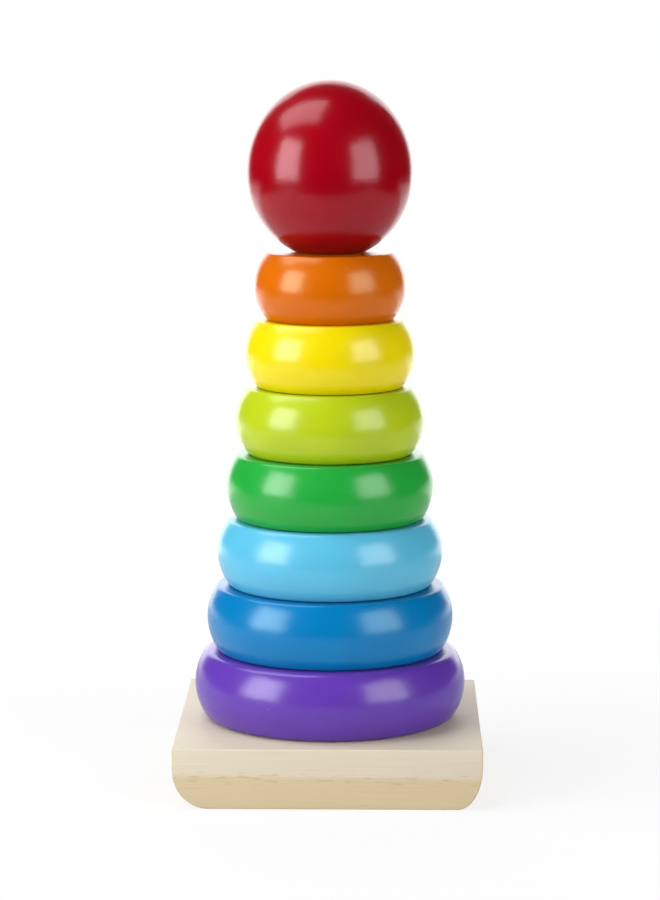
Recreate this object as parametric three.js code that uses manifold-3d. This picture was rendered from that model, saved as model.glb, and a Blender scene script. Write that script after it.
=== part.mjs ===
// A wooden stacking toy: seven painted rings and a painted ball on an upright dowel.
// The dowel is glued into a square base block and held from below by one wood screw.
// Millimetres, +Z up. The origin is the middle of the base block's underside.
import * as THREE from 'three';
import { mergeVertices } from 'three/addons/utils/BufferGeometryUtils.js';
import Module from 'manifold-3d';

const wasm = await Module();
wasm.setup();

// ---- driving dimensions ----

const FACETS = 36;             // facets round every turned piece
const SEAT_GAP = 0.1;          // air under a piece that rests on another
const FIT_GAP = 0.3;           // air round a piece that sits in a socket

const BASE_SIDE = 100;
const BASE_HEIGHT = 19.8;
// The lower corners at the two ends are sanded round by hand, one fuller than the other.
const LEFT_ROUND = { across: 11.5, up: 12.5 };
const RIGHT_ROUND = { across: 8, up: 14 };
const ROUND_STEPS = 8;

const DOWEL_RADIUS = 7.5;
const DOWEL_SOCKET_DEPTH = 14;
const DOWEL_CHAMFER = 1;       // at the foot
const DOWEL_DOME = 5;          // height of the rounded tip
const DOWEL_ABOVE_RINGS = 25;  // how far the tip stands above the top ring

const SCREW_HEAD_RADIUS = 4;
const SCREW_HEAD_HEIGHT = 2.6;
const SCREW_SHANK_RADIUS = 2;
const SCREW_LENGTH = 28;
const SCREW_POINT = 5;
const SCREW_SUNK = 1;          // how deep the head lies below the underside
const SCREW_CROSS = { length: 4.6, width: 1, depth: 1.5 };

const BORE_RADIUS = 9.5;       // the hole through every ring
const BORE_CHAMFER = 1;
// Bottom ring first. side is the radius of the bulging side, seen in section,
// and edge is the small round where the side meets the flat top and underside.
const RINGS = [
  { name: 'purple_ring', radius: 45.2, height: 22.85, side: 18, edge: 3, colour: 0x673fb3 },
  { name: 'blue_ring', radius: 41, height: 21.8, side: 19, edge: 1.5, colour: 0x0181c2 },
  { name: 'light_blue_ring', radius: 37.45, height: 22.4, side: 18, edge: 1.8, colour: 0x5ec2e6 },
  { name: 'green_ring', radius: 34.3, height: 21.7, side: 19, edge: 1.5, colour: 0x28aa3d },
  { name: 'lime_ring', radius: 31.2, height: 22.35, side: 17, edge: 1.5, colour: 0xc0d61f },
  { name: 'yellow_ring', radius: 28.1, height: 22.4, side: 17.5, edge: 1.2, colour: 0xf1dc05 },
  { name: 'orange_ring', radius: 25, height: 22.25, side: 17, edge: 0.8, colour: 0xde7000 },
];

// The ball is turned slightly taller than it is wide. Its widest line is BALL_WAIST_UP above
// the top ring, and the flat underside cuts the lower half short.
const BALL_RADIUS = 27.35;
const BALL_UPPER_HALF = 30.1;
const BALL_LOWER_HALF = 29;
const BALL_WAIST_UP = 26.35;
const BALL_EDGE = 0.8;
const BALL_SOCKET_RADIUS = 9;
const BALL_SOCKET_DEPTH = 31.5;

// ---- heights worked out from them ----

// Each ring sits on the one below, from the base block's top face up.
const ringSeats = [];
let stackTop = BASE_HEIGHT;
for (const ring of RINGS) {
  ringSeats.push(stackTop);
  stackTop += ring.height;
}
const dowelFoot = BASE_HEIGHT - DOWEL_SOCKET_DEPTH;
const dowelTip = stackTop + DOWEL_ABOVE_RINGS;

// ---- finishes ----

function paint(colour) {
  return new THREE.MeshStandardMaterial({ color: colour, roughness: 0.22, metalness: 0 });
}

function bareWood(colour) {
  return new THREE.MeshStandardMaterial({ color: colour, roughness: 0.6, metalness: 0 });
}

const zincSteel = new THREE.MeshStandardMaterial({ color: 0xb9bcc0, roughness: 0.35, metalness: 1 });

// ---- helpers ----

// Turns a profile of [radius, height] points about +Z.
function turned(profile, facets = FACETS) {
  const points = profile.map(([radius, height]) => new THREE.Vector2(radius, height));
  return new THREE.LatheGeometry(points, facets).rotateX(Math.PI / 2);
}

// Points on an ellipse arc from angle a to angle b, both ends included.
function arc(centre, radii, a, b, steps) {
  const points = [];
  for (let i = 0; i <= steps; i += 1) {
    const angle = a + ((b - a) * i) / steps;
    points.push([centre[0] + radii[0] * Math.cos(angle), centre[1] + radii[1] * Math.sin(angle)]);
  }
  return points;
}

function toSolid(geometry) {
  const bare = geometry.clone();
  bare.deleteAttribute('normal');
  bare.deleteAttribute('uv');
  const merged = mergeVertices(bare, 1e-4);
  return new wasm.Manifold(new wasm.Mesh({
    numProp: 3,
    vertProperties: new Float32Array(merged.attributes.position.array),
    triVerts: new Uint32Array(merged.index.array),
  }));
}

function toGeometry(solid) {
  const mesh = solid.getMesh();
  const geometry = new THREE.BufferGeometry();
  geometry.setAttribute('position', new THREE.BufferAttribute(mesh.vertProperties, 3));
  geometry.setIndex(new THREE.BufferAttribute(mesh.triVerts, 1));
  geometry.computeVertexNormals();
  return geometry;
}

function part(name, geometry, material) {
  const mesh = new THREE.Mesh(geometry, material);
  mesh.name = name;
  return mesh;
}

// ---- base block: a square of softwood with round lower ends, drilled from both faces ----

// The hole for the dowel and its screw, from below the underside to above the top.
function baseHole() {
  const past = 1;
  const headRadius = SCREW_HEAD_RADIUS + FIT_GAP;
  const shankRadius = SCREW_SHANK_RADIUS + FIT_GAP;
  const socketRadius = DOWEL_RADIUS + FIT_GAP;
  return turned([
    [0, -past],
    [headRadius, -past],
    [headRadius, SCREW_SUNK + FIT_GAP],
    [shankRadius, SCREW_SUNK + SCREW_HEAD_HEIGHT + FIT_GAP],
    [shankRadius, dowelFoot - FIT_GAP],
    [socketRadius, dowelFoot - FIT_GAP],
    [socketRadius, BASE_HEIGHT + past],
    [0, BASE_HEIGHT + past],
  ]);
}

function baseBlock() {
  const half = BASE_SIDE / 2;
  const right = arc(
    [half - RIGHT_ROUND.across, RIGHT_ROUND.up],
    [RIGHT_ROUND.across, RIGHT_ROUND.up], -Math.PI / 2, 0, ROUND_STEPS,
  );
  const left = arc(
    [-half + LEFT_ROUND.across, LEFT_ROUND.up],
    [LEFT_ROUND.across, LEFT_ROUND.up], Math.PI, Math.PI * 1.5, ROUND_STEPS,
  );
  const outline = [...right, [half, BASE_HEIGHT], [-half, BASE_HEIGHT], ...left];
  const shape = new THREE.Shape(outline.map(([x, z]) => new THREE.Vector2(x, z)));
  const block = new THREE.ExtrudeGeometry(shape, { depth: BASE_SIDE, bevelEnabled: false });
  block.rotateX(Math.PI / 2).translate(0, half, 0);
  return toGeometry(toSolid(block).subtract(toSolid(baseHole())));
}

// ---- centre dowel: a plain rod with a rounded tip and a pilot hole in its foot ----

function centreDowel() {
  const pilotRadius = SCREW_SHANK_RADIUS + FIT_GAP;
  const pilotTop = SCREW_SUNK + SCREW_LENGTH + FIT_GAP;
  const tip = arc([0, dowelTip - DOWEL_DOME], [DOWEL_RADIUS, DOWEL_DOME], 0, Math.PI / 2, 6);
  tip[tip.length - 1] = [0, dowelTip];
  return turned([
    [0, pilotTop],
    [pilotRadius, pilotTop - SCREW_POINT],
    [pilotRadius, dowelFoot],
    [DOWEL_RADIUS - DOWEL_CHAMFER, dowelFoot],
    [DOWEL_RADIUS, dowelFoot + DOWEL_CHAMFER],
    ...tip,
  ]);
}

// ---- dowel screw: a countersunk wood screw with a cross recess ----

function dowelScrew() {
  const headBottom = SCREW_SUNK;
  const headTop = headBottom + SCREW_HEAD_HEIGHT;
  const tip = headBottom + SCREW_LENGTH;
  const body = toSolid(turned([
    [0, headBottom],
    [SCREW_HEAD_RADIUS, headBottom],
    [SCREW_SHANK_RADIUS, headTop],
    [SCREW_SHANK_RADIUS, tip - SCREW_POINT],
    [0, tip],
  ], FACETS / 2));
  const slotDepth = 2 * SCREW_CROSS.depth;
  const slot = new THREE.BoxGeometry(SCREW_CROSS.length, SCREW_CROSS.width, slotDepth);
  slot.translate(0, 0, headBottom);
  const crossed = slot.clone().rotateZ(Math.PI / 2);
  return toGeometry(body.subtract(toSolid(slot)).subtract(toSolid(crossed)));
}

// ---- rings: flat top and underside, bulging side, straight bore with broken edges ----

function ringGeometry(ring, seat) {
  const bottom = seat + SEAT_GAP;
  const top = seat + ring.height;
  const middle = (bottom + top) / 2;
  const halfHeight = top - middle;
  const sideCentre = ring.radius - ring.side;
  // The edge round touches the flat face and lies inside the side's arc.
  const edgeUp = halfHeight - ring.edge;
  const edgeCentre = sideCentre + Math.sqrt((ring.side - ring.edge) ** 2 - edgeUp ** 2);
  const meet = Math.atan2(edgeUp, edgeCentre - sideCentre);
  const edge = [ring.edge, ring.edge];
  return turned([
    [BORE_RADIUS + BORE_CHAMFER, bottom],
    ...arc([edgeCentre, middle - edgeUp], edge, -Math.PI / 2, -meet, 2),
    ...arc([sideCentre, middle], [ring.side, ring.side], -meet, meet, 6).slice(1, -1),
    ...arc([edgeCentre, middle + edgeUp], edge, meet, Math.PI / 2, 2),
    [BORE_RADIUS + BORE_CHAMFER, top],
    [BORE_RADIUS, top - BORE_CHAMFER],
    [BORE_RADIUS, bottom + BORE_CHAMFER],
    [BORE_RADIUS + BORE_CHAMFER, bottom],
  ]);
}

// ---- ball: a turned knob with a flat underside and a blind socket for the dowel's tip ----

function ballTop() {
  const bottom = stackTop + SEAT_GAP;
  const waist = stackTop + BALL_WAIST_UP;
  const footAngle = Math.asin((bottom + BALL_EDGE - waist) / BALL_LOWER_HALF);
  const lower = arc([0, waist], [BALL_RADIUS, BALL_LOWER_HALF], footAngle, 0, 6);
  const upper = arc([0, waist], [BALL_RADIUS, BALL_UPPER_HALF], 0, Math.PI / 2, 8);
  upper[upper.length - 1] = [0, waist + BALL_UPPER_HALF];
  const socketTop = bottom + BALL_SOCKET_DEPTH;
  return turned([
    [0, socketTop],
    [BALL_SOCKET_RADIUS, socketTop],
    [BALL_SOCKET_RADIUS, bottom + BORE_CHAMFER],
    [BALL_SOCKET_RADIUS + BORE_CHAMFER, bottom],
    [lower[0][0] - BALL_EDGE, bottom],
    ...lower,
    ...upper.slice(1),
  ]);
}

// ---- assembly ----

const toy = new THREE.Group();
toy.add(part('base_block', baseBlock(), bareWood(0xe1d5be)));
toy.add(part('centre_dowel', centreDowel(), bareWood(0xe0cda6)));
toy.add(part('dowel_screw', dowelScrew(), zincSteel));
RINGS.forEach((ring, i) => {
  toy.add(part(ring.name, ringGeometry(ring, ringSeats[i]), paint(ring.colour)));
});
toy.add(part('ball_top', ballTop(), paint(0xa2011c)));

export default toy;
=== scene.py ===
import math

import bmesh
import bpy
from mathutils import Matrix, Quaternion, Vector


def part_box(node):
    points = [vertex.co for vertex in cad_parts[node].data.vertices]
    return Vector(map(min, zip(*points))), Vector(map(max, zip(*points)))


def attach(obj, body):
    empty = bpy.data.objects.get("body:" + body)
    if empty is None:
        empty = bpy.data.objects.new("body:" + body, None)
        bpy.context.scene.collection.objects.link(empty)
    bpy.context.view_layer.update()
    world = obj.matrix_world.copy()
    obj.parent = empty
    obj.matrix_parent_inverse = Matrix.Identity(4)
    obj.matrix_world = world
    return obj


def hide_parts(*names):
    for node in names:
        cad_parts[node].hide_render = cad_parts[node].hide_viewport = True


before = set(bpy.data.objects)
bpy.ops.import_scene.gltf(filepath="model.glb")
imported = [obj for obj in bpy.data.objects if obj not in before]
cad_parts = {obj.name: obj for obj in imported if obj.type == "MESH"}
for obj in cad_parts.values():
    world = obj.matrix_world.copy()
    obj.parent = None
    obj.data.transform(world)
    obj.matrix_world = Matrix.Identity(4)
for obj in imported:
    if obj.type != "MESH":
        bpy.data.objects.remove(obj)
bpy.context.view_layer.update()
scene = bpy.context.scene
MM = 0.001


# ---- Camera ----
# A long lens about a metre away, a little higher than the toy and almost square to its front.
AIM = Vector((0, 0, 109.4 * MM))
CAMERA_DISTANCE = 1.024
CAMERA_AZIMUTH = math.radians(1.0)
CAMERA_ELEVATION = math.radians(8.87)
LENS = 123.2                   # mm
SENSOR_WIDTH = 36              # mm

towards_camera = Vector((
    math.sin(CAMERA_AZIMUTH) * math.cos(CAMERA_ELEVATION),
    -math.cos(CAMERA_AZIMUTH) * math.cos(CAMERA_ELEVATION),
    math.sin(CAMERA_ELEVATION),
))
bpy.ops.object.camera_add(
    location=AIM + CAMERA_DISTANCE * towards_camera,
    rotation=(math.pi / 2 - CAMERA_ELEVATION, 0, CAMERA_AZIMUTH),
)
camera = bpy.context.object
camera.data.lens = LENS
camera.data.sensor_width = SENSOR_WIDTH
scene.camera = camera


# ---- Studio ----
# A white table about a metre wide, two tall softboxes beside the camera, a strip light overhead
# to the left, and brightly lit white paper behind, lying flat and then upright, that lights the
# rims of the rings.
TABLE_HALF_WIDTH = 0.59
TABLE_FRONT = 0.38
TABLE_GAP = 0.05 * MM          # the table lies this far below the toy, so that no faces meet
LAMINATE = (0.66, 0.66, 0.66, 1)
PALE_PAPER = (0.8, 0.8, 0.8, 1)
# Painted shade: a near-black floor beyond the table's front and ends, standing for the unlit studio
# there.
PAINTED_SHADE_FLOOR = (0.01, 0.01, 0.01, 1)
DIM_ROOM = (0.03, 0.03, 0.03, 1)
PURE_WHITE = (1, 1, 1, 1)
ROOM_GREY = (0.62, 0.62, 0.62, 1)


def linear(hex_colour):
    """The linear RGBA of an sRGB colour such as "A2011C"."""
    channels = [int(hex_colour[i:i + 2], 16) / 255 for i in (0, 2, 4)]
    return [c / 12.92 if c <= 0.04045 else ((c + 0.055) / 1.055) ** 2.4 for c in channels] + [1]


def add_node(tree, kind, inputs={}, stops=(), **settings):
    """Adds one node. inputs gives sockets a value, or the output of another node to follow,
    and stops gives a colour ramp its places and colours."""
    node = tree.nodes.new("ShaderNode" + kind)
    for setting, value in settings.items():
        setattr(node, setting, value)
    for socket, value in inputs.items():
        if isinstance(value, bpy.types.NodeSocket):
            tree.links.new(value, node.inputs[socket])
        else:
            node.inputs[socket].default_value = value
    for count, (place, colour) in enumerate(stops):
        ramp = node.color_ramp.elements
        stop = ramp[count] if count < len(ramp) else ramp.new(place)
        stop.position = place
        stop.color = colour
    return node


def softbox(name, centre, size, radiance, aim, roll=0):
    """A rectangular diffuser of even brightness, facing the point it is aimed at and turned by
    roll degrees in its own plane."""
    bpy.ops.object.light_add(type="AREA", location=centre)
    box = bpy.context.object
    box.name = name
    facing = (Vector(aim) - Vector(centre)).to_track_quat("-Z", "Y")
    box.rotation_euler = (facing @ Quaternion((0, 0, 1), math.radians(roll))).to_euler()
    box.data.shape = "RECTANGLE"
    box.data.size, box.data.size_y = size
    box.data.energy = radiance * math.pi * size[0] * size[1]
    box.visible_camera = False


def beside_camera(degrees, distance, height):
    """A point at this bearing from the toy, counted from the front towards +X."""
    bearing = math.radians(degrees)
    return (distance * math.sin(bearing), -distance * math.cos(bearing), height)


softbox("left softbox", beside_camera(-60, 1.2, 0.5), (0.73, 0.92), 8.4, (0, 0, 0.5))
softbox("right softbox", beside_camera(51, 1.2, 0.5), (0.8, 0.92), 5.4, (0, 0, 0.5))
softbox("overhead strip", (-0.72, 0.01, 1.2), (1.25, 0.66), 4.3, (-0.72, 0.01, 0), roll=-24)
softbox("flat paper", (0, 0.75, 0.002), (2.0, 0.8), 1.1, (0, 0.75, 1))
softbox("upright paper", (0, 1.2, 0.6), (1.5, 1.2), 2.4, (0, 0, 0.6))

bpy.ops.object.select_all(action="DESELECT")
bpy.ops.mesh.primitive_plane_add(size=60, location=(0, 0, -TABLE_GAP))
table = bpy.context.object
table.name = "white_table"
white_top = bpy.data.materials.new("White laminate, lit from all sides")
white_top.use_nodes = True
tree = white_top.node_tree
tree.nodes.clear()
place = add_node(tree, "TexCoord").outputs["Object"]
# To the camera the table runs on for ever and fades to pure white. The glossy paint mirrors it as
# it is, with painted shade beyond its front and its ends: a near-black floor standing for the unlit
# studio.
reach = add_node(tree, "VectorMath", {0: place}, operation="LENGTH").outputs["Value"]
fade = add_node(tree, "MapRange", {"Value": reach, "From Min": 0.06, "From Max": 0.3,
                                   "To Min": 0.82, "To Max": 1.0}).outputs["Result"]
xyz = add_node(tree, "SeparateXYZ", {"Vector": place})
sideways = add_node(tree, "Math", {0: xyz.outputs["X"]}, operation="ABSOLUTE").outputs[0]
past_end = add_node(tree, "Math", {0: sideways, 1: TABLE_HALF_WIDTH},
                    operation="GREATER_THAN").outputs[0]
past_front = add_node(tree, "Math", {0: xyz.outputs["Y"], 1: -TABLE_FRONT},
                      operation="LESS_THAN").outputs[0]
beyond = add_node(tree, "Math", {0: past_end, 1: past_front}, operation="MAXIMUM").outputs[0]
surface = add_node(tree, "Mix", {0: beyond, 6: LAMINATE, 7: PAINTED_SHADE_FLOOR},
                   data_type="RGBA").outputs[2]
laminate = add_node(tree, "BsdfDiffuse", {"Color": surface}).outputs["BSDF"]
pale = add_node(tree, "BsdfDiffuse", {"Color": PALE_PAPER}).outputs["BSDF"]
# Seen from other sides the white ends in the pale grey of the room, a metre or two away.
off_paper = add_node(tree, "Math", {0: xyz.outputs["Y"], 1: -0.3, 2: sideways},
                     operation="MULTIPLY_ADD").outputs[0]
grey_here = add_node(tree, "MapRange", {"Value": off_paper, "From Min": 0.3,
                                        "From Max": 1.6}).outputs["Result"]
far_colour = add_node(tree, "Mix", {0: grey_here, 6: PURE_WHITE, 7: ROOM_GREY},
                      data_type="RGBA").outputs[2]
glow = add_node(tree, "Emission", {"Color": far_colour, "Strength": 1.0}).outputs["Emission"]
seen = add_node(tree, "MixShader", {0: fade, 1: pale, 2: glow}).outputs["Shader"]
path = add_node(tree, "LightPath").outputs["Is Camera Ray"]
either = add_node(tree, "MixShader", {0: path, 1: laminate, 2: seen}).outputs["Shader"]
add_node(tree, "OutputMaterial", {"Surface": either})
table.data.materials.append(white_top)

# To the camera the room is white behind the toy and pale grey elsewhere. To everything else it
# is dim.
world = bpy.data.worlds.new("Studio")
world.use_nodes = True
scene.world = world
tree = world.node_tree
tree.nodes.clear()
path = add_node(tree, "LightPath").outputs["Is Camera Ray"]
room = add_node(tree, "Background", {"Color": DIM_ROOM}).outputs["Background"]
direction = add_node(tree, "TexCoord").outputs["Object"]
backwards = add_node(tree, "SeparateXYZ", {"Vector": direction}).outputs["Y"]
backdrop = add_node(tree, "MapRange", {"Value": backwards, "From Min": 0.3,
                                       "From Max": 0.9}).outputs["Result"]
wall_colour = add_node(tree, "Mix", {0: backdrop, 6: ROOM_GREY, 7: PURE_WHITE},
                       data_type="RGBA").outputs[2]
white = add_node(tree, "Background", {"Color": wall_colour}).outputs["Background"]
shown = add_node(tree, "MixShader", {0: path, 1: room, 2: white}).outputs["Shader"]
add_node(tree, "OutputWorld", {"Surface": shown})
scene.view_settings.view_transform = "Standard"


# ---- Base block ----
# One square of planed pine with the grain along X. Its lower ends are rounded over on a belt
# sander, every edge is lightly broken, and it is bored through for the dowel and its screw.
LEFT_ROUND = {"across": 11.5 * MM, "up": 12.5 * MM}
RIGHT_ROUND = {"across": 8 * MM, "up": 14 * MM}
ROUND_SEGMENTS = 16
BROKEN_EDGE = 0.5 * MM
DOWEL_FIT = 0.06 * MM          # glue line round the dowel
SCREW_HEAD_RADIUS = 4 * MM
SCREW_CLEARANCE = 0.3 * MM
SHANK_HOLE = 2.3 * MM
BORE_STEPS = 96
EARLY_WOOD = linear("CEC2AD")
LATE_WOOD = linear("C6B492")
FLECK = linear("B28D5C")
END_GRAIN_TINT = linear("F2DEC8")
PINE_IOR = 1.45
GROWTH_RING = 26.0             # mm, the wide years of a fast-grown tree
PITH = (0.0, -399.8)           # mm, where the tree's middle lay, in Y and Z


def select_where(piece, kind, test):
    """Selects the verts, edges or faces of a piece in edit mode whose corners all pass the test."""
    bpy.ops.mesh.select_mode(type=kind)
    bpy.ops.mesh.select_all(action="DESELECT")
    cage = bmesh.from_edit_mesh(piece.data)
    for item in {"VERT": cage.verts, "EDGE": cage.edges, "FACE": cage.faces}[kind]:
        corners = [item] if kind == "VERT" else item.verts
        if all(test(corner.co) for corner in corners):
            item.select_set(True)
    bmesh.update_edit_mesh(piece.data)


def start_profile(name, radius, height):
    """Starts a new piece as one point, from which its profile is drawn in the XZ plane."""
    bpy.ops.object.select_all(action="DESELECT")
    bpy.ops.mesh.primitive_plane_add(size=MM)
    piece = bpy.context.object
    piece.name = name
    bpy.ops.object.mode_set(mode="EDIT")
    bpy.ops.mesh.select_mode(type="VERT")
    bpy.ops.mesh.select_all(action="SELECT")
    bpy.ops.mesh.merge(type="CENTER")
    bpy.ops.transform.translate(value=(radius, 0, height))
    return piece


def line_to(radius, height):
    """Draws a straight stretch from the selected point."""
    cage = bmesh.from_edit_mesh(bpy.context.object.data)
    here = next(vert.co.copy() for vert in cage.verts if vert.select)
    step = (radius - here.x, 0, height - here.z)
    bpy.ops.mesh.extrude_region_move(TRANSFORM_OT_translate={"value": step})


def arc_about(radius, height, degrees, steps):
    """Draws an arc about a centre, anticlockwise with +X to the right, from the selected point."""
    bpy.ops.mesh.spin(steps=steps, angle=math.radians(degrees), center=(radius, 0, height),
                      axis=(0, 1, 0))


def turn(piece, steps, crease=30):
    """Turns the drawn profile about the Z axis, as on a lathe, and closes its seam and poles."""
    bpy.ops.mesh.select_all(action="SELECT")
    bpy.ops.mesh.spin(steps=steps, angle=2 * math.pi, center=(0, 0, 0), axis=(0, 0, 1))
    bpy.ops.mesh.select_all(action="SELECT")
    bpy.ops.mesh.remove_doubles(threshold=0.001 * MM)
    bpy.ops.mesh.select_all(action="SELECT")
    bpy.ops.mesh.normals_make_consistent(inside=False)
    bpy.ops.object.mode_set(mode="OBJECT")
    bpy.ops.object.shade_smooth_by_angle(angle=math.radians(crease))


def apply_modifier(piece, kind, **settings):
    """Adds one modifier with these settings and applies it."""
    bpy.ops.object.select_all(action="DESELECT")
    bpy.context.view_layer.objects.active = piece
    piece.select_set(True)
    modifier = piece.modifiers.new(kind.title(), kind)
    for setting, value in settings.items():
        setattr(modifier, setting, value)
    bpy.ops.object.modifier_apply(modifier=modifier.name)


def cut(piece, cutter):
    """Takes the cutter's shape out of the piece."""
    apply_modifier(piece, "BOOLEAN", object=cutter, operation="DIFFERENCE", solver="EXACT")
    bpy.data.objects.remove(cutter)


def round_lower_end(piece, end, across, up):
    """Rounds the block's lower edge at one end to an oval, cut as a circle on a squashed block."""
    squash = across / up
    bpy.ops.mesh.select_all(action="SELECT")
    bpy.ops.transform.resize(value=(1, 1, squash), center_override=(0, 0, 0))
    select_where(piece, "EDGE", lambda co: abs(co.x - end) < 0.01 * MM and abs(co.z) < 0.01 * MM)
    bpy.ops.mesh.bevel(offset=across, segments=ROUND_SEGMENTS, profile=0.5, affect="EDGES")
    bpy.ops.mesh.select_all(action="SELECT")
    bpy.ops.transform.resize(value=(1, 1, 1 / squash), center_override=(0, 0, 0))


def start_material(name):
    """A new material, with its node tree and its Principled shader."""
    material = bpy.data.materials.new(name)
    material.use_nodes = True
    return material, material.node_tree, material.node_tree.nodes["Principled BSDF"]


def in_millimetres(tree, turned=0):
    """The piece's own coordinates in millimetres, turned about the Z axis by this many degrees."""
    coordinate = add_node(tree, "TexCoord").outputs["Object"]
    return add_node(tree, "Mapping", {"Vector": coordinate, "Scale": (1000, 1000, 1000),
                                      "Rotation": (0, 0, math.radians(turned))}).outputs["Vector"]


def pine():
    """Pine, planed and sanded, with no finish: pale early wood and warmer late wood each year,
    silky streaks along the grain, short resin flecks, and warmer, duller end grain."""
    material, tree, surface = start_material("Pine, planed and sanded")
    in_mm = in_millimetres(tree)

    # Years: the distance from the pith, bent a little along the board.
    across = add_node(tree, "Mapping", {"Vector": in_mm, "Location": (0, -PITH[0], -PITH[1]),
                                        "Scale": (0, 1, 1)}).outputs["Vector"]
    from_pith = add_node(tree, "VectorMath", {0: across}, operation="LENGTH").outputs["Value"]
    lengthwise = add_node(tree, "Mapping", {"Vector": in_mm,
                                            "Scale": (0.012, 0.06, 0.06)}).outputs["Vector"]
    bend = add_node(tree, "TexNoise", {"Vector": lengthwise, "Scale": 1.0, "Detail": 3.0,
                                       "Roughness": 0.4}).outputs[0]
    bent = add_node(tree, "Math", {0: bend, 1: 3.0, 2: from_pith},
                    operation="MULTIPLY_ADD").outputs[0]
    years = add_node(tree, "Math", {0: bent, 1: GROWTH_RING}, operation="DIVIDE").outputs[0]
    season = add_node(tree, "Math", {0: years}, operation="FRACT").outputs[0]
    body = add_node(tree, "ValToRGB", {"Fac": season}, stops=[
        (0.0, EARLY_WOOD), (0.46, EARLY_WOOD), (0.56, LATE_WOOD), (0.93, LATE_WOOD),
        (1.0, EARLY_WOOD)]).outputs["Color"]

    # Streaks: fibres about 0.4 mm apart and tens of millimetres long.
    fibre_space = add_node(tree, "Mapping", {"Vector": in_mm,
                                             "Scale": (0.03, 2.4, 2.4)}).outputs["Vector"]
    fibre = add_node(tree, "TexNoise", {"Vector": fibre_space, "Scale": 1.0, "Detail": 4.0,
                                        "Roughness": 0.6}).outputs[0]
    shade = add_node(tree, "MapRange", {"Value": fibre, "From Min": 0.3, "From Max": 0.7,
                                        "To Min": 0.95, "To Max": 1.04}).outputs["Result"]
    streaked = add_node(tree, "VectorMath", {0: body, "Scale": shade},
                        operation="SCALE").outputs["Vector"]

    # Flecks: resin canals cut lengthwise, a few millimetres long, crowded at the end of a year.
    fleck_space = add_node(tree, "Mapping", {"Vector": in_mm,
                                             "Scale": (0.2, 1.1, 1.1)}).outputs["Vector"]
    fleck = add_node(tree, "TexNoise", {"Vector": fleck_space, "Scale": 1.0,
                                        "Detail": 2.0}).outputs[0]
    crowded = add_node(tree, "ValToRGB", {"Fac": season}, stops=[
        (0.0, (0.1, 0.1, 0.1, 1)), (0.12, (0, 0, 0, 1)), (0.8, (0, 0, 0, 1)),
        (0.95, (0.17, 0.17, 0.17, 1)), (1.0, (0.1, 0.1, 0.1, 1))]).outputs["Color"]
    likely = add_node(tree, "Math", {0: fleck, 1: crowded}, operation="ADD").outputs[0]
    fleck_here = add_node(tree, "MapRange", {"Value": likely, "From Min": 0.66, "From Max": 0.84,
                                             "To Max": 0.45}).outputs["Result"]
    flecked = add_node(tree, "Mix", {0: fleck_here, 6: streaked, 7: FLECK},
                       data_type="RGBA").outputs[2]

    # End grain: where the surface faces along X the fibres are cut across.
    normal = add_node(tree, "TexCoord").outputs["Normal"]
    facing = add_node(tree, "SeparateXYZ", {"Vector": normal}).outputs["X"]
    endways = add_node(tree, "Math", {0: facing}, operation="ABSOLUTE").outputs[0]
    end_here = add_node(tree, "MapRange", {"Value": endways, "From Min": 0.15,
                                           "From Max": 0.95}).outputs["Result"]
    pores = add_node(tree, "TexNoise", {"Vector": in_mm, "Scale": 2.5,
                                        "Detail": 2.0}).outputs[0]
    end_shade = add_node(tree, "MapRange", {"Value": pores, "From Min": 0.35, "From Max": 0.65,
                                            "To Min": 0.86, "To Max": 1.0}).outputs["Result"]
    end_tint = add_node(tree, "Mix", {0: 1.0, 6: flecked, 7: END_GRAIN_TINT},
                        data_type="RGBA", blend_type="MULTIPLY").outputs[2]
    end_wood = add_node(tree, "VectorMath", {0: end_tint, "Scale": end_shade},
                        operation="SCALE").outputs["Vector"]
    wood = add_node(tree, "Mix", {0: end_here, 6: flecked, 7: end_wood},
                    data_type="RGBA").outputs[2]
    tree.links.new(wood, surface.inputs["Base Color"])

    # Sanded along the grain, so the fibres stand up a few hundredths of a millimetre.
    bump = add_node(tree, "Bump", {"Height": fibre, "Distance": 0.05 * MM, "Strength": 1.0})
    tree.links.new(bump.outputs["Normal"], surface.inputs["Normal"])
    rough = add_node(tree, "MapRange", {"Value": fibre, "From Min": 0.3, "From Max": 0.7,
                                        "To Min": 0.62, "To Max": 0.5}).outputs["Result"]
    tree.links.new(rough, surface.inputs["Roughness"])
    surface.inputs["IOR"].default_value = PINE_IOR
    return material


block_low, block_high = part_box("base_block")
block_size = block_high - block_low
dowel_low, dowel_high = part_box("centre_dowel")
dowel_radius = dowel_high.x
screw_low, screw_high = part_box("dowel_screw")

bpy.ops.object.select_all(action="DESELECT")
bpy.ops.mesh.primitive_cube_add(size=1, location=(block_low + block_high) / 2, scale=block_size)
block = bpy.context.object
block.name = "pine_block"
bpy.ops.object.transform_apply(location=True, rotation=True, scale=True)
bpy.ops.object.mode_set(mode="EDIT")
round_lower_end(block, block_low.x, LEFT_ROUND["across"], LEFT_ROUND["up"])
round_lower_end(block, block_high.x, RIGHT_ROUND["across"], RIGHT_ROUND["up"])
bpy.ops.object.mode_set(mode="OBJECT")
apply_modifier(block, "BEVEL", width=BROKEN_EDGE, segments=3, limit_method="ANGLE",
               angle_limit=math.radians(35))

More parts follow.
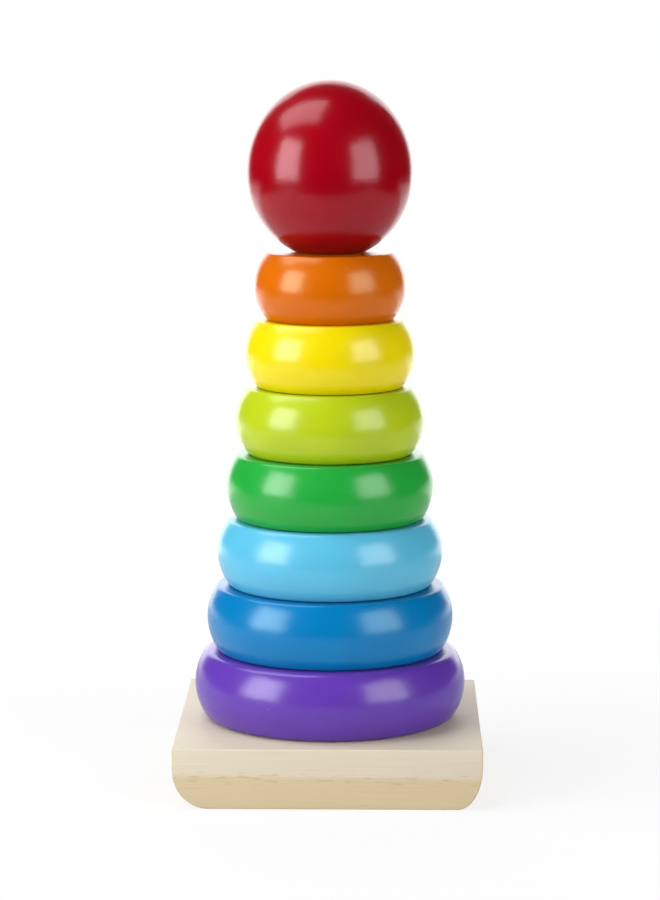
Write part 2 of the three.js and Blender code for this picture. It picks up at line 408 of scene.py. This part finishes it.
# The bore: a countersunk hole for the screw's head, a clearance hole and the dowel's socket.
socket_radius = dowel_radius + DOWEL_FIT
socket_floor = dowel_low.z - SCREW_CLEARANCE
head_hole = SCREW_HEAD_RADIUS + SCREW_CLEARANCE
cutter = start_profile("bore_cutter", 0, -MM)
line_to(head_hole + BROKEN_EDGE, -MM)
line_to(head_hole + BROKEN_EDGE, 0)
line_to(head_hole, BROKEN_EDGE)
line_to(head_hole, screw_low.z + SCREW_CLEARANCE)
line_to(SHANK_HOLE, screw_low.z + head_hole - SHANK_HOLE + SCREW_CLEARANCE)
line_to(SHANK_HOLE, socket_floor)
line_to(socket_radius, socket_floor)
line_to(socket_radius, block_high.z - BROKEN_EDGE)
line_to(socket_radius + BROKEN_EDGE, block_high.z)
line_to(socket_radius + BROKEN_EDGE, block_high.z + MM)
line_to(0, block_high.z + MM)
turn(cutter, BORE_STEPS)
cut(block, cutter)
bpy.ops.object.shade_smooth_by_angle(angle=math.radians(30))
block.data.materials.append(pine())
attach(block, "base")
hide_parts("base_block")


# ---- Centre dowel ----
# A bare birch rod with a rounded tip, glued in the block's socket. Its foot has a chamfer
# to start it in the socket and a pilot hole for the screw.
DOWEL_CHAMFER = 1 * MM
DOWEL_DOME = 5 * MM
PILOT_TOP = 29.3 * MM
PILOT_TAPER = 5 * MM
BIRCH = linear("D2BE98")
BIRCH_DARK = linear("B99B6C")
BIRCH_IOR = 1.45
BIRCH_ROUGHNESS = 0.55


def birch():
    """Birch, turned and sanded, unfinished: almost even, with faint bands along the rod, short
    darker pores and a soft dull surface."""
    material, tree, surface = start_material("Birch, turned and sanded")
    in_mm = in_millimetres(tree)
    band_space = add_node(tree, "Mapping", {"Vector": in_mm,
                                            "Scale": (0.35, 0.12, 0.008)}).outputs["Vector"]
    bands = add_node(tree, "TexNoise", {"Vector": band_space, "Scale": 1.0, "Detail": 3.0,
                                        "Distortion": 0.4}).outputs[0]
    banded = add_node(tree, "MapRange", {"Value": bands, "From Min": 0.35, "From Max": 0.75,
                                         "To Max": 0.6}).outputs["Result"]
    pore_space = add_node(tree, "Mapping", {"Vector": in_mm,
                                            "Scale": (3.0, 3.0, 0.35)}).outputs["Vector"]
    pores = add_node(tree, "TexNoise", {"Vector": pore_space, "Scale": 1.0,
                                        "Detail": 2.0}).outputs[0]
    pored = add_node(tree, "MapRange", {"Value": pores, "From Min": 0.56, "From Max": 0.72,
                                        "To Max": 0.35}).outputs["Result"]
    darker = add_node(tree, "Math", {0: banded, 1: pored}, operation="MAXIMUM").outputs[0]
    colour = add_node(tree, "Mix", {0: darker, 6: BIRCH, 7: BIRCH_DARK},
                      data_type="RGBA").outputs[2]
    tree.links.new(colour, surface.inputs["Base Color"])
    bump = add_node(tree, "Bump", {"Height": pores, "Distance": 0.04 * MM, "Strength": 1.0})
    tree.links.new(bump.outputs["Normal"], surface.inputs["Normal"])
    surface.inputs["Roughness"].default_value = BIRCH_ROUGHNESS
    surface.inputs["IOR"].default_value = BIRCH_IOR
    return material


shoulder = dowel_high.z - DOWEL_DOME
dowel = start_profile("birch_dowel", 0, PILOT_TOP)
line_to(SHANK_HOLE, PILOT_TOP - PILOT_TAPER)
line_to(SHANK_HOLE, dowel_low.z)
line_to(dowel_radius - DOWEL_CHAMFER, dowel_low.z)
line_to(dowel_radius, dowel_low.z + DOWEL_CHAMFER)
line_to(dowel_radius, shoulder)
arc_about(0, shoulder, 90, 16)
# The tip is an oval dome, so the quarter circle above the shoulder is pressed flatter.
select_where(dowel, "VERT", lambda co: co.z > shoulder)
bpy.ops.transform.resize(value=(1, 1, DOWEL_DOME / dowel_radius),
                         center_override=(0, 0, shoulder))
turn(dowel, BORE_STEPS)
dowel.data.materials.append(birch())
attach(dowel, "base")
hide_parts("centre_dowel")


# ---- Dowel screw ----
# A zinc-plated countersunk wood screw with a cross recess, driven up through the block into
# the foot of the dowel, its head sunk a millimetre below the underside.
HEAD_RIM = 0.25 * MM
HEAD_HEIGHT = 2.6 * MM
THREAD_CREST = 2 * MM
THREAD_CORE = 1.35 * MM
THREAD_PITCH = 1.8 * MM
SCREW_POINT = 5 * MM
SCREW_STEPS = 48
THREAD_ROW = 0.12 * MM         # the rows of points that the thread is formed from
ZINC = linear("C9CBCD")
ZINC_DULL = linear("A9ADB0")
RECESS = {"length": 4.6 * MM, "width": 1 * MM, "depth": 1.8 * MM, "floor": 0.45}


def zinc_plate():
    """Bright zinc on steel: a soft metallic shine, slightly uneven where the plating is thin."""
    material, tree, surface = start_material("Zinc-plated steel")
    in_mm = in_millimetres(tree)
    mottle = add_node(tree, "TexNoise", {"Vector": in_mm, "Scale": 1.6,
                                         "Detail": 4.0}).outputs[0]
    colour = add_node(tree, "Mix", {0: mottle, 6: ZINC, 7: ZINC_DULL},
                      data_type="RGBA").outputs[2]
    tree.links.new(colour, surface.inputs["Base Color"])
    rough = add_node(tree, "MapRange", {"Value": mottle, "To Min": 0.24,
                                        "To Max": 0.46}).outputs["Result"]
    tree.links.new(rough, surface.inputs["Roughness"])
    bump = add_node(tree, "Bump", {"Height": mottle, "Distance": 0.01 * MM, "Strength": 1.0})
    tree.links.new(bump.outputs["Normal"], surface.inputs["Normal"])
    surface.inputs["Metallic"].default_value = 1.0
    return material


head_low = screw_low.z
neck = head_low + HEAD_HEIGHT
point_start = screw_high.z - SCREW_POINT
thread_rows = round((screw_high.z - neck) / THREAD_ROW)
screw = start_profile("countersunk_screw", 0, head_low)
line_to(SCREW_HEAD_RADIUS - HEAD_RIM, head_low)
arc_about(SCREW_HEAD_RADIUS - HEAD_RIM, head_low + HEAD_RIM, 90, 3)
line_to(THREAD_CREST, neck)
for row in range(1, thread_rows):
    line_to(THREAD_CREST, neck + (screw_high.z - neck) * row / thread_rows)
line_to(0, screw_high.z)
turn(screw, SCREW_STEPS)
# The thread: above the neck each point's distance from the axis follows the height and the turn.
for vert in screw.data.vertices:
    if vert.co.z <= neck or vert.co.xy.length < 0.01 * MM:
        continue
    angle = math.atan2(vert.co.y, vert.co.x)
    winding = (vert.co.z / THREAD_PITCH - angle / (2 * math.pi)) % 1
    crest = max(0, 1 - abs(winding - 0.5) / 0.28)
    started = min(1, (vert.co.z - neck) / THREAD_PITCH)
    taper = min(1, max(0.02, (screw_high.z - vert.co.z) / SCREW_POINT))
    radius = (THREAD_CORE + (THREAD_CREST - THREAD_CORE) * crest * started) * taper
    vert.co.xy = vert.co.xy.normalized() * radius
for quarter in (0, 1):
    bpy.ops.object.select_all(action="DESELECT")
    bpy.ops.mesh.primitive_cube_add(
        size=1, location=(0, 0, head_low),
        scale=(RECESS["length"], RECESS["width"], 2 * RECESS["depth"]),
    )
    wing = bpy.context.object
    bpy.ops.object.transform_apply(location=True, rotation=True, scale=True)
    bpy.ops.object.mode_set(mode="EDIT")
    select_where(wing, "FACE", lambda co: co.z > head_low)
    bpy.ops.transform.resize(value=(RECESS["floor"], 0.7, 1), center_override=(0, 0, head_low))
    bpy.ops.mesh.select_all(action="SELECT")
    bpy.ops.transform.rotate(value=quarter * math.pi / 2, orient_axis="Z",
                             center_override=(0, 0, head_low))
    bpy.ops.object.mode_set(mode="OBJECT")
    cut(screw, wing)
bpy.ops.object.shade_smooth_by_angle(angle=math.radians(40))
screw.data.materials.append(zinc_plate())
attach(screw, "base")
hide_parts("dowel_screw")


# ---- Rings ----
# Seven rings turned from solid hardwood, each with a flat top and underside, a bulging side and
# a straight bore with eased edges, then sprayed all over with glossy water-based enamel.
BORE_RADIUS = 9.5 * MM
BORE_EASE = 1 * MM
HOLD = 0.25 * MM               # a loop this far inside each flat face keeps it flat to the light
RING_STEPS = 192
ENAMEL_IOR = 1.48
CLEAR_GLOSS = "FFFFFF"
# side is the radius of the bulge in section and edge the round where it meets the flats, in mm.
# grain is the direction of the wood's fibres under the paint, in degrees from X, and gloss is the
# tint of its shine where that isn't clear.
RINGS = {
    "purple": {"side": 18, "edge": 3, "paint": "5B35A2", "grain": 4},
    "blue": {"side": 19, "edge": 1.5, "paint": "0072AE", "grain": -7, "gloss": "DAFFFF"},
    "light_blue": {"side": 18, "edge": 1.8, "paint": "55B1D2", "grain": 11},
    "green": {"side": 19, "edge": 1.5, "paint": "1F9D38", "grain": -3},
    "lime": {"side": 17, "edge": 1.5, "paint": "ACC016", "grain": 8},
    "yellow": {"side": 17.5, "edge": 1.2, "paint": "E3CF00", "grain": -12},
    "orange": {"side": 17, "edge": 0.8, "paint": "CA6300", "grain": 6, "gloss": "FFFFD6"},
}


def enamel(name, hex_colour, grain, gloss=CLEAR_GLOSS, roughness=0.24):
    """Sprayed enamel over sanded wood: one even glossy colour, a faint orange peel, the wood's
    grain just showing through as shallow waves, and a few specks of dust under the gloss. The
    purest pigments tint the gloss a little too."""
    material, tree, surface = start_material(name)
    in_mm = in_millimetres(tree, turned=grain)
    # Thickness of the coat: soft patches about 12 mm across.
    coat = add_node(tree, "TexNoise", {"Vector": in_mm, "Scale": 1 / 12,
                                       "Detail": 3.0}).outputs[0]
    shade = add_node(tree, "MapRange", {"Value": coat, "From Min": 0.3, "From Max": 0.7,
                                        "To Min": 0.965, "To Max": 1.03}).outputs["Result"]
    # Grain under the paint: waves about 1.5 mm apart and tens of millimetres long.
    grain_space = add_node(tree, "Mapping", {"Vector": in_mm,
                                             "Scale": (0.025, 0.7, 0.7)}).outputs["Vector"]
    waves = add_node(tree, "TexNoise", {"Vector": grain_space, "Scale": 1.0,
                                        "Detail": 3.0}).outputs[0]
    # Specks: one bump about 0.3 mm across here and there in a 5 mm lattice.
    specks = add_node(tree, "TexVoronoi", {"Vector": in_mm, "Scale": 1 / 5})
    near = add_node(tree, "MapRange", {"Value": specks.outputs["Distance"], "From Min": 0.05,
                                       "From Max": 0.02}).outputs["Result"]
    chosen = add_node(tree, "SeparateXYZ", {"Vector": specks.outputs["Color"]}).outputs["X"]
    few = add_node(tree, "Math", {0: chosen, 1: 0.6}, operation="GREATER_THAN").outputs[0]
    speck = add_node(tree, "Math", {0: near, 1: few}, operation="MULTIPLY").outputs[0]
    even = add_node(tree, "VectorMath", {0: linear(hex_colour)[:3], "Scale": shade},
                    operation="SCALE").outputs["Vector"]
    dusty = add_node(tree, "Math", {0: speck, 1: 0.12}, operation="MULTIPLY").outputs[0]
    colour = add_node(tree, "Mix", {0: dusty, 6: even, 7: (1, 1, 1, 1)},
                      data_type="RGBA").outputs[2]
    tree.links.new(colour, surface.inputs["Base Color"])

    peel = add_node(tree, "TexNoise", {"Vector": in_mm, "Scale": 1 / 1.6,
                                       "Detail": 2.0}).outputs[0]
    peeled = add_node(tree, "Bump", {"Height": peel, "Distance": 0.012 * MM, "Strength": 1.0})
    waved = add_node(tree, "Bump", {"Height": waves, "Distance": 0.03 * MM, "Strength": 1.0,
                                    "Normal": peeled.outputs["Normal"]})
    dusted = add_node(tree, "Bump", {"Height": speck, "Distance": 0.02 * MM, "Strength": 1.0,
                                     "Normal": waved.outputs["Normal"]})
    tree.links.new(dusted.outputs["Normal"], surface.inputs["Normal"])
    rough = add_node(tree, "MapRange", {"Value": coat, "From Min": 0.3, "From Max": 0.7,
                                        "To Min": roughness + 0.03,
                                        "To Max": roughness - 0.02}).outputs["Result"]
    tree.links.new(rough, surface.inputs["Roughness"])
    surface.inputs["Specular Tint"].default_value = linear(gloss)
    surface.inputs["IOR"].default_value = ENAMEL_IOR
    return material


def turned_ring(name, radius, bottom, top, side, edge):
    """Draws a ring's section anticlockwise from the foot of its bore and turns it."""
    middle = (bottom + top) / 2
    side_centre = radius - side
    edge_up = (top - bottom) / 2 - edge
    edge_centre = side_centre + math.sqrt((side - edge) ** 2 - edge_up ** 2)
    meet = math.degrees(math.atan2(edge_up, edge_centre - side_centre))
    bore_edge = BORE_RADIUS + BORE_EASE
    ring = start_profile(name, BORE_RADIUS, bottom + BORE_EASE)
    arc_about(bore_edge, bottom + BORE_EASE, 90, 6)
    line_to(bore_edge + HOLD, bottom)
    line_to(edge_centre - HOLD, bottom)
    line_to(edge_centre, bottom)
    arc_about(edge_centre, middle - edge_up, 90 - meet, 8)
    arc_about(side_centre, middle, 2 * meet, 28)
    arc_about(edge_centre, middle + edge_up, 90 - meet, 8)
    line_to(edge_centre - HOLD, top)
    line_to(bore_edge + HOLD, top)
    line_to(bore_edge, top)
    arc_about(bore_edge, top - BORE_EASE, 90, 6)
    line_to(BORE_RADIUS, top - BORE_EASE - HOLD)
    line_to(BORE_RADIUS, bottom + BORE_EASE + HOLD)
    line_to(BORE_RADIUS, bottom + BORE_EASE)
    turn(ring, RING_STEPS)
    return ring


for colour_name, look in RINGS.items():
    node = colour_name + "_ring"
    low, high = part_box(node)
    ring = turned_ring("turned_" + node, high.x, low.z, high.z,
                       look["side"] * MM, look["edge"] * MM)
    plain_name = colour_name.replace("_", " ").capitalize()
    ring.data.materials.append(enamel(plain_name + " enamel on wood", look["paint"],
                                      look["grain"], look.get("gloss", CLEAR_GLOSS)))
    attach(ring, colour_name)
    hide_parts(node)


# ---- Ball ----
# A ball turned from one piece of hardwood, a little taller than wide, with a small flat to
# stand on and a blind socket that drops over the dowel's tip, sprayed with red enamel.
BALL_UPPER_HALF = 30.1 * MM
BALL_LOWER_HALF = 29 * MM
BALL_EDGE = 0.8 * MM
BALL_SOCKET_RADIUS = 9 * MM
BALL_SOCKET_DEPTH = 31.5 * MM
BALL_STEPS = 192

ball_low, ball_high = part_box("ball_top")
ball_radius = ball_high.x
foot = ball_low.z
waist = ball_high.z - BALL_UPPER_HALF
foot_angle = math.degrees(math.asin((waist - foot) / BALL_LOWER_HALF))
foot_radius = ball_radius * math.cos(math.radians(foot_angle))
circle_foot = waist - ball_radius * math.sin(math.radians(foot_angle))
ball = start_profile("turned_ball", foot_radius, circle_foot)
arc_about(0, waist, foot_angle, 36)
arc_about(0, waist, 90, 48)
# The outline is drawn round first, then its two halves are drawn out to their heights.
select_where(ball, "VERT", lambda co: co.z > waist + 0.001 * MM)
bpy.ops.transform.resize(value=(1, 1, BALL_UPPER_HALF / ball_radius),
                         center_override=(0, 0, waist))
select_where(ball, "VERT", lambda co: co.z < waist - 0.001 * MM)
bpy.ops.transform.resize(value=(1, 1, BALL_LOWER_HALF / ball_radius),
                         center_override=(0, 0, waist))
select_where(ball, "VERT", lambda co: co.z < foot + 0.001 * MM)
mouth = BALL_SOCKET_RADIUS + BORE_EASE
line_to(mouth, foot)
arc_about(mouth, foot + BORE_EASE, -90, 6)
line_to(BALL_SOCKET_RADIUS, foot + BORE_EASE + HOLD)
line_to(BALL_SOCKET_RADIUS, foot + BALL_SOCKET_DEPTH - HOLD)
line_to(BALL_SOCKET_RADIUS, foot + BALL_SOCKET_DEPTH)
line_to(0, foot + BALL_SOCKET_DEPTH)
turn(ball, BALL_STEPS)
bpy.ops.object.mode_set(mode="EDIT")
select_where(ball, "EDGE", lambda co: abs(co.z - foot) < 0.01 * MM
             and abs(co.xy.length - foot_radius) < 0.05 * MM)
bpy.ops.mesh.bevel(offset=BALL_EDGE, segments=5, profile=0.5, affect="EDGES")
bpy.ops.object.mode_set(mode="OBJECT")
bpy.ops.object.shade_smooth_by_angle(angle=math.radians(30))
ball.data.materials.append(enamel("Red enamel on wood", "940011", 0, "FFE2EC", 0.21))
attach(ball, "ball")
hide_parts("ball_top")
